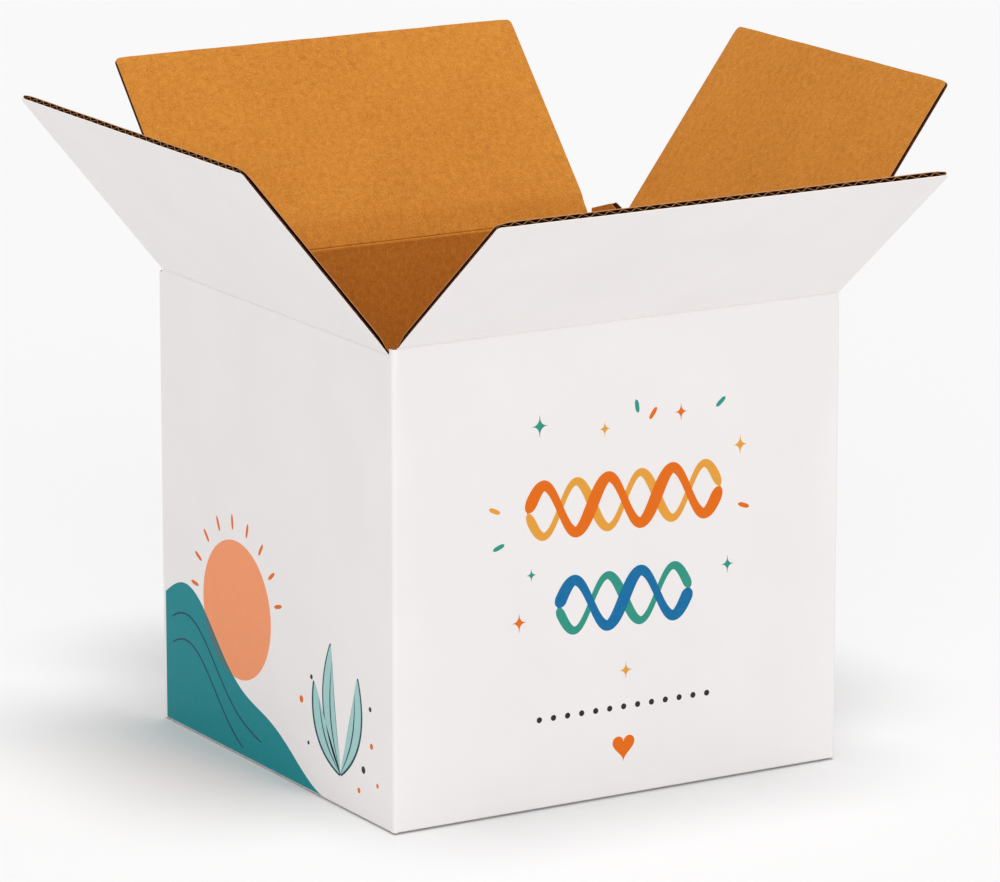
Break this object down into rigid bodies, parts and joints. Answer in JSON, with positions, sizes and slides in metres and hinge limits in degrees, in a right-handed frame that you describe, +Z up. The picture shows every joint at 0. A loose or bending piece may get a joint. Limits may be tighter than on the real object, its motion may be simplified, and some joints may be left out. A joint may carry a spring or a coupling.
{
  "type": "corrugated mailer box",
  "caption": "Folded corrugated carton standing open, white outside and brown kraft inside, with a glued bottom and hinged top flaps.",
  "frame": {"origin": "on the floor under the middle of the four walls", "axes": "+X to the right as seen from the front, +Y to the back, +Z up"},
  "size_m": [0.353, 0.3593, 0.2935],
  "materials": {
    "white_liner": "clay-coated white top liner, matt",
    "kraft_liner": "bare brown kraft liner and fluting, matt"
  },
  "bodies": {
    "box": {"box_body": "white_liner"},
    "front_flap": {"front_flap": "white_liner"},
    "right_flap": {"right_flap": "kraft_liner"},
    "back_flap": {"back_flap": "kraft_liner"},
    "left_flap": {"left_flap": "white_liner"}
  },
  "joints": [
    {"name": "front_flap_crease", "type": "hinge", "parent": "box", "child": "front_flap", "pos_m": [0, -0.1043, 0.209], "axis": [1, 0, 0], "range_deg": [-141.5, 123.5]},
    {"name": "right_flap_crease", "type": "hinge", "parent": "box", "child": "right_flap", "pos_m": [0.1108, 0, 0.206], "axis": [0, 1, 0], "range_deg": [-126.5, 138.5]},
    {"name": "back_flap_crease", "type": "hinge", "parent": "box", "child": "back_flap", "pos_m": [0, 0.1043, 0.209], "axis": [-1, 0, 0], "range_deg": [-132, 133]},
    {"name": "left_flap_crease", "type": "hinge", "parent": "box", "child": "left_flap", "pos_m": [-0.1108, 0, 0.206], "axis": [0, -1, 0], "range_deg": [-129.5, 135.5]}
  ]
}
